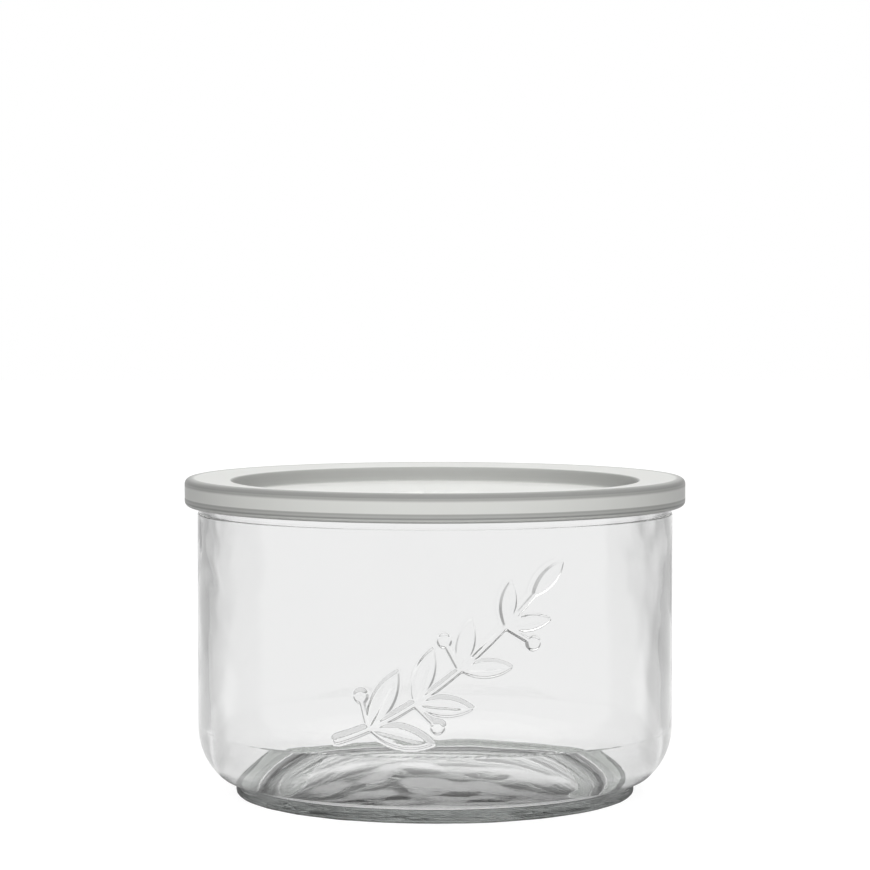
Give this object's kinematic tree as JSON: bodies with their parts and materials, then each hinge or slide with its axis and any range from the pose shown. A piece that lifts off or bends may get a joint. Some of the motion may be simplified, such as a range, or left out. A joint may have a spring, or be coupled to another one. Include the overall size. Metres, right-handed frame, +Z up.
{
  "type": "glass storage jar",
  "caption": "Low round clear-glass storage jar with curved lower corner, foot ring, raised leaf sprig on its front, and a frosted press-on lid recessed for stacking.",
  "frame": {"origin": "centre of the foot ring, on the plane that the jar stands on", "axes": "+Z up along the jar's axis, -Y towards the side with the leaf sprig, +X to the right when facing the sprig"},
  "size_m": [0.1262, 0.1262, 0.0799],
  "materials": {
    "clear_glass": "clear pressed glass, slightly wavy, with a faint grey-green tint where it is thick",
    "frosted_plastic": "milky grey translucent polyethylene with a soft satin surface"
  },
  "bodies": {
    "root": {"glass_jar": "clear_glass", "snap_lid": "frosted_plastic"}
  },
  "joints": []
}
